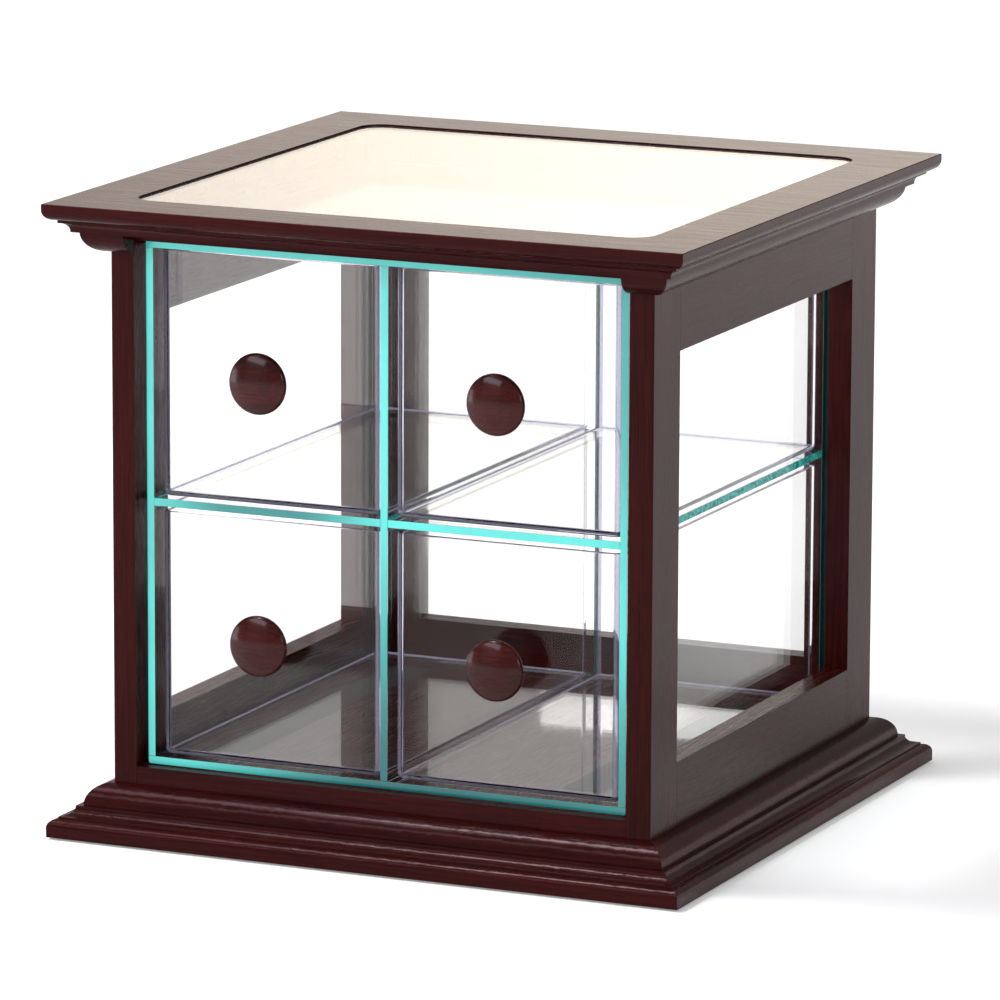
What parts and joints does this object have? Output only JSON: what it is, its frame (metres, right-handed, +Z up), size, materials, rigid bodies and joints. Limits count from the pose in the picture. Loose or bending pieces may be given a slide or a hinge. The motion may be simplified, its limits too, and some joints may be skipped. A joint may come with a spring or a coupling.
{
  "type": "countertop bread display bin",
  "caption": "Countertop bread display: moulded dark wood case with windows around a clear acrylic box, whose compartments hold clear pull-out bins with round wood knobs.",
  "frame": {"origin": "on the counter, below the middle of the case", "axes": "+Z up, -Y towards the user who pulls the bins, +X to the user's right"},
  "size_m": [0.432, 0.434, 0.406],
  "materials": {
    "stained_hardwood": "dark red-brown stain under a satin lacquer",
    "knob_lacquer": "dark cherry stain under a glossy lacquer",
    "clear_acrylic": "clear cast sheet with polished green edges",
    "bin_plastic": "clear moulded plastic, glossy",
    "window_pane": "clear pane, polished",
    "screw_steel": "zinc-plated",
    "foot_rubber": "matt",
    "mounting_tape": "black double-sided foam tape"
  },
  "bodies": {
    "case": {"back_bottom_rail": "stained_hardwood", "back_left_stile": "stained_hardwood", "back_right_stile": "stained_hardwood", "back_top_rail": "stained_hardwood", "base_moulding_back": "stained_hardwood", "base_moulding_front": "stained_hardwood", "base_moulding_left": "stained_hardwood", "base_moulding_right": "stained_hardwood", "box_back_panel": "clear_acrylic", "box_bottom_panel": "clear_acrylic", "box_divider": "clear_acrylic", "box_left_panel": "clear_acrylic", "box_right_panel": "clear_acrylic", "box_shelf": "clear_acrylic", "box_tape_left": "mounting_tape", "box_tape_right": "mounting_tape", "box_top_panel": "clear_acrylic", "cleat_screws": "screw_steel", "crown_back": "stained_hardwood", "crown_front": "stained_hardwood", "crown_left": "stained_hardwood", "crown_right": "stained_hardwood", "deck_board": "stained_hardwood", "deck_cleat_back": "stained_hardwood", "deck_cleat_left": "stained_hardwood", "deck_cleat_right": "stained_hardwood", "foot_back_left": "foot_rubber", "foot_back_right": "foot_rubber", "foot_front_left": "foot_rubber", "foot_front_right": "foot_rubber", "front_rail": "stained_hardwood", "header_rail": "stained_hardwood", "left_back_stile": "stained_hardwood", "left_bottom_rail": "stained_hardwood", "left_front_stile": "stained_hardwood", "left_top_rail": "stained_hardwood", "right_back_stile": "stained_hardwood", "right_bottom_rail": "stained_hardwood", "right_front_stile": "stained_hardwood", "right_top_rail": "stained_hardwood", "top_slab": "stained_hardwood", "top_window": "window_pane"},
    "bin_lower_left": {"bin_lower_left": "bin_plastic", "knob_lower_left": "knob_lacquer", "knob_screw_lower_left": "screw_steel"},
    "bin_lower_right": {"bin_lower_right": "bin_plastic", "knob_lower_right": "knob_lacquer", "knob_screw_lower_right": "screw_steel"},
    "bin_upper_left": {"bin_upper_left": "bin_plastic", "knob_upper_left": "knob_lacquer", "knob_screw_upper_left": "screw_steel"},
    "bin_upper_right": {"bin_upper_right": "bin_plastic", "knob_upper_right": "knob_lacquer", "knob_screw_upper_right": "screw_steel"}
  },
  "joints": [
    {"name": "bin_lower_left_slide", "type": "slide", "parent": "case", "child": "bin_lower_left", "axis": [0, -1, 0], "range_m": [0, 0.26]},
    {"name": "bin_lower_right_slide", "type": "slide", "parent": "case", "child": "bin_lower_right", "axis": [0, -1, 0], "range_m": [0, 0.26]},
    {"name": "bin_upper_left_slide", "type": "slide", "parent": "case", "child": "bin_upper_left", "axis": [0, -1, 0], "range_m": [0, 0.26]},
    {"name": "bin_upper_right_slide", "type": "slide", "parent": "case", "child": "bin_upper_right", "axis": [0, -1, 0], "range_m": [0, 0.26]}
  ]
}
